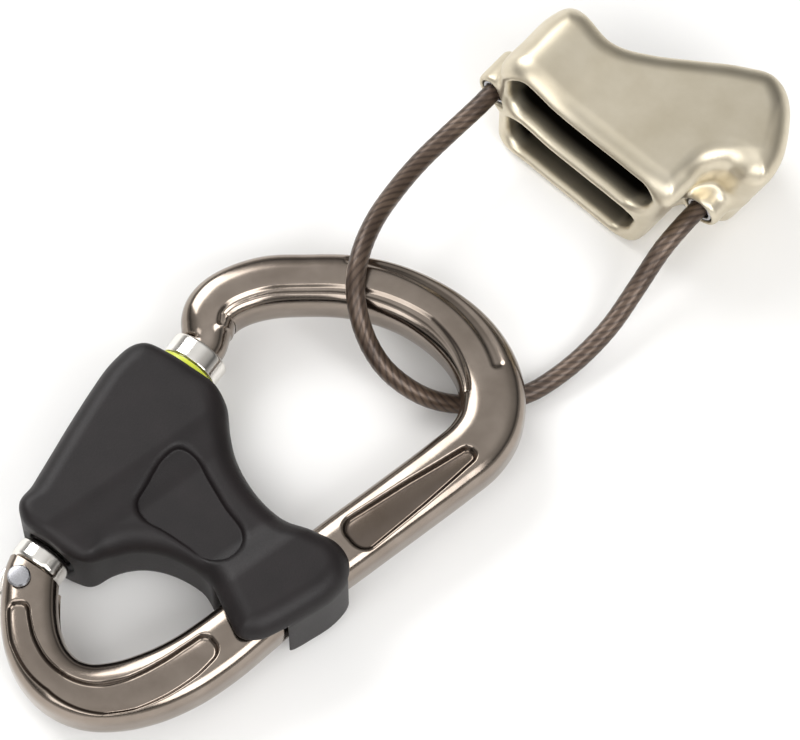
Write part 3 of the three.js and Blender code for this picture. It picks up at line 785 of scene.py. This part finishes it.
def make_guard():
    """The moulded guard: a barrel round the gate, a lower web, and a channel over the spine."""
    outline = outline_distance(smooth_line(GUARD_OUTLINE, OUTLINE_SAMPLES, closed=True))
    pocket = outline_distance(smooth_line(GUARD_POCKET, OUTLINE_SAMPLES, closed=True))
    channel = outline_distance(guard_channel())
    channel_top = MID_Z + BAR_HEIGHT / 2 + GAP + CHANNEL_ROOM

    def field(x, y, z):
        across_web = x - WEB_LEAN * y
        web = blend(across_web, *WEB_START) * (1 - blend(across_web, *WEB_END))
        half = (guard_high[2] - guard_low[2]) / 2 - WEB_DISH * web
        up = np.abs(z - MID_Z)
        barrel_end = blend(np.abs(y - BARREL_MIDDLE_Y), *BARREL_END) * (1 - blend(x, *BARREL_SIDE))
        edge_round = EDGE_ROUND - BARREL_END_ROUND * barrel_end
        body = rounded(outline(x, y) + GUARD_TRIM, up - half, edge_round)
        sunk = np.maximum(pocket(x, y), half - POCKET_DEPTH - up)
        body = soft_max(body, -sunk, 1.4)
        slot = np.maximum(channel(x, y), z - channel_top)
        bore = rod_y(x, y, z, SLEEVE_RADIUS + GUARD_CLEARANCE, SLEEVE_BORE_Y, PAST_GUARD)
        neck = rod_y(x, y, z, GATE_RADIUS + GUARD_CLEARANCE, -PAST_GUARD, SLEEVE_BORE_Y + 1)
        foot = rod_y(x, y, z, GATE_SHOULDER_RADIUS + GUARD_CLEARANCE, -PAST_GUARD,
                     SHOULDER_Y + GATE_SHOULDER_LENGTH + 1)
        hollow = np.minimum(np.minimum(bore, neck), foot)
        return soft_max(soft_max(body, -slot, 1.0), -hollow, 0.7)

    piece = skin("moulded_guard", field, guard_low - SKIN_MARGIN, guard_high + SKIN_MARGIN, GUARD_CELL)
    return settle(piece, "guard", "black_nylon", NYLON, "guard_clip")


# ---- tube device, in its own frame: x along the slots, y through them --------
TUBE_PLACE = np.array([42.2, 97.1])
TUBE_TURN = math.radians(-7.8)
TUBE_OUTLINE = [
    [-22, 0.4], [-14, 0], [-4, 0], [6, 0], [16, 0.2], [20.6, 1.6], [21.4, 7], [21.4, 12], [23.8, 15],
    [28, 15.2], [31.2, 17], [31, 22.4], [27.8, 29], [23, 34.6], [17.2, 37], [11, 34.4], [3, 29.4],
    [-5, 24.4], [-12, 21.2], [-19, 21.6], [-23.2, 20.4], [-25, 16.4], [-25.2, 9], [-25, 3],
]
SLOT_OUTLINE = [
    [-21.6, -4], [17.4, -4], [17.6, 7], [18.6, 12.8], [22.4, 18.4], [26.4, 21.6], [23, 29], [19, 42],
    [-21.6, 42],
]
FLANK_LEAN = 0.28  # how far the right flank leans in, for each millimetre down
FLANK_START = (-8, 12)  # x over which the lean comes in
TUBE_WALL = 3.2
TUBE_DIVIDER = 2.6
SLOT_ROUND = 4.5
SLOT_HEIGHT = (TUBE_HEIGHT - 2 * TUBE_WALL - TUBE_DIVIDER) / 2
HORN_X = -18.5
HORN_WIDTH = 6.5
HORN_LIFT = 2.6  # how far the horn stands above the rest of the top
TUBE_EDGE = 3.2  # rounding of the tube's lower edge
TUBE_TOP_EDGE = 2.4  # how much more its upper edge is rounded
BOSS_RADIUS = 4.2
BOSSES = {"left": (-25.6, 1.4, 10, 17), "right": (20, 10, 19, 14)}  # x, mouth, back, z
FERRULE_LENGTH = 4
FERRULE_INSET = 0.4
FERRULE_ROOM = 1.6  # between the ferrule and the bottom of its bore
MOUTH_ROOM = 1.3  # round the cable, in front of a boss
MOUTH_REACH = 20  # how far in front of it


def unleaned(x, z):
    """The x in the tube's outlines that a point of the leaning flank belongs to."""
    return x + FLANK_LEAN * (TUBE_HEIGHT - z) * blend(x, *FLANK_START)


def make_tube():
    """The tube device: a rounded body with two slots through it, and a boss for each cable end."""
    outline = outline_distance(smooth_line(TUBE_OUTLINE, OUTLINE_SAMPLES, closed=True))
    slot_plan = outline_distance(SLOT_OUTLINE)

    def body_field(x, y, z):
        flank_x = unleaned(x, z)
        horn = np.exp(-(((x - HORN_X) / HORN_WIDTH) ** 2))
        top = TUBE_HEIGHT - HORN_LIFT * (1 - horn)
        level = z * TUBE_HEIGHT / top
        plan = outline(flank_x, y)
        half = TUBE_HEIGHT / 2
        upper = blend(level, half - 4, half + 4)
        body = rounded(plan, np.abs(level - half) - half, TUBE_EDGE + TUBE_TOP_EDGE * upper)
        for cx, mouth, back, cz in BOSSES.values():
            body = soft_min(body, rod_y(x, y, z, BOSS_RADIUS, mouth, back, cx, cz, 1.2), 2.4)
        for base in (TUBE_WALL, TUBE_WALL + SLOT_HEIGHT + TUBE_DIVIDER):
            middle = base + SLOT_HEIGHT / 2
            slot = rounded(slot_plan(flank_x, y), np.abs(level - middle) - SLOT_HEIGHT / 2, SLOT_ROUND)
            body = soft_max(body, -slot, 2.2)
        bore = CABLE_RADIUS + GAP + FERRULE_WALL + GAP
        for cx, mouth, back, cz in BOSSES.values():
            end = mouth + FERRULE_INSET + FERRULE_LENGTH + FERRULE_ROOM
            body = soft_max(body, -rod_y(x, y, z, bore, mouth - 1, end, cx, cz), 0.5)
            way_in = rod_y(x, y, z, CABLE_RADIUS + MOUTH_ROOM, mouth - MOUTH_REACH, mouth, cx, cz)
            body = soft_max(body, -way_in, 0.5)
        return body

    low, high = (-32, -3, -SKIN_MARGIN), (34, 40, TUBE_HEIGHT + SKIN_MARGIN)
    piece = skin("tube_shell", body_field, low, high, TUBE_CELL)
    x, y, z = mesh_points(piece).T / MM
    flank_x = unleaned(x, z)
    # Painted shade: darker in the slots, from a little way in, and not on the faces that they open
    # through
    within = blend(-slot_plan(flank_x, y), -0.4, 0.8) * blend(-outline(flank_x, y), 1.6, 5)
    between = blend(np.minimum(z, TUBE_HEIGHT - z), TUBE_WALL - 1, TUBE_WALL + 0.5)
    set_painted_shade_mask(piece, within * between)
    return settle(piece, "tube", "champagne_alloy", CHAMPAGNE, "tube_body")


def to_row(piece):
    """Moves a tube piece's mesh from the tube's own frame to the whole set's."""
    turn_cos, turn_sin = math.cos(TUBE_TURN), math.sin(TUBE_TURN)
    co = mesh_points(piece)
    x, y = co[:, 0].copy(), co[:, 1].copy()
    co[:, 0] = TUBE_PLACE[0] * MM + x * turn_cos - y * turn_sin
    co[:, 1] = TUBE_PLACE[1] * MM + x * turn_sin + y * turn_cos
    piece.data.vertices.foreach_set("co", co.ravel())
    piece.data.update()


def make_ferrule(side):
    cx, mouth, _, cz = BOSSES[side]
    inner = CABLE_RADIUS + GAP
    outer = inner + FERRULE_WALL
    y0 = mouth + FERRULE_INSET
    y1 = y0 + FERRULE_LENGTH
    profile = rounded_profile([[inner, y0], [outer, y0], [outer, y1], [inner, y1]], 0.25)
    piece = lathe(f"ferrule_{side}", profile[::-1], cx, cz, 64)
    to_row(piece)
    return settle(piece, "tube", "spring_steel", STEEL, f"cable_ferrule_{side}")


# ---- floor and light ---------------------------------------------------------
FLOOR_SPAN = 3000  # from the middle to each side
FLOOR_Z = -0.05  # just under the object
# Height on the studio's walls, from 0 level with the object to 1 overhead, and brightness there
WALLS = [(0.0, 0.9), (0.06, 0.03), (0.4, 0.06), (0.55, 0.3), (0.8, 0.5), (1.0, 0.62)]
LIGHT_AIM = (33.9, 47.7, 10)


def make_floor():
    corner = [(-FLOOR_SPAN, -FLOOR_SPAN), (FLOOR_SPAN, -FLOOR_SPAN),
              (FLOOR_SPAN, FLOOR_SPAN), (-FLOOR_SPAN, FLOOR_SPAN)]
    floor = mesh_object("floor", [[x, y, FLOOR_Z] for x, y in corner], [[0, 1, 2, 3]])
    material = bpy.data.materials.new("floor_white")
    material.use_nodes = True
    shader = material.node_tree.nodes["Principled BSDF"]
    shader.inputs["Base Color"].default_value = (0.9, 0.895, 0.885, 1)
    shader.inputs["Roughness"].default_value = 0.7
    floor.data.materials.append(material)


def make_world():
    """A pale studio whose lower walls are dark, so that polished metal shows its edges."""
    world = bpy.data.worlds.new("studio")
    bpy.context.scene.world = world
    world.use_nodes = True
    nodes, links = world.node_tree.nodes, world.node_tree.links
    place = nodes.new("ShaderNodeTexCoord")
    split = nodes.new("ShaderNodeSeparateXYZ")
    links.new(place.outputs["Generated"], split.inputs["Vector"])
    ramp = nodes.new("ShaderNodeValToRGB")
    elements = ramp.color_ramp.elements
    for position, level in WALLS:
        if position in (0.0, 1.0):
            element = elements[int(position)]
        else:
            element = elements.new(position)
        element.color = (level, level * 0.985, level * 0.96, 1)
    links.new(split.outputs["Z"], ramp.inputs["Fac"])
    light = nodes["Background"]
    links.new(ramp.outputs["Color"], light.inputs["Color"])
    light.inputs["Strength"].default_value = 1.0


def make_light(name, place, size, watts):
    """A square lamp of the given side at a place, turned to the object."""
    data = bpy.data.lights.new(name, "AREA")
    data.size = size * MM
    data.energy = watts
    light = bpy.data.objects.new(name, data)
    bpy.context.scene.collection.objects.link(light)
    light.location = Vector(place) * MM
    light.rotation_mode = "QUATERNION"
    light.rotation_quaternion = (Vector(place) - Vector(LIGHT_AIM)).to_track_quat("Z", "Y")


# The camera and the cord come first
make_camera()
cable, cable_line, cable_length = make_cable()
make_frame()
make_gate()
make_pin()
make_sleeve()
make_ring()
make_guard()
tube = make_tube()
to_row(tube)
ferrules = [make_ferrule("left"), make_ferrule("right")]
# The spring and its plunger stay as CAD nodes, inside the gate
for hidden in ("gate_spring", "gate_plunger"):
    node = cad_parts[hidden]
    node.data.materials.clear()
    node.data.materials.append(STEEL)

make_floor()
make_world()
make_light("key", (-650, 250, 650), 600, 6)
make_light("fill", (650, -150, 600), 500, 4)
make_light("front", (100, -700, 700), 700, 4)
bpy.context.scene.view_settings.view_transform = "Standard"
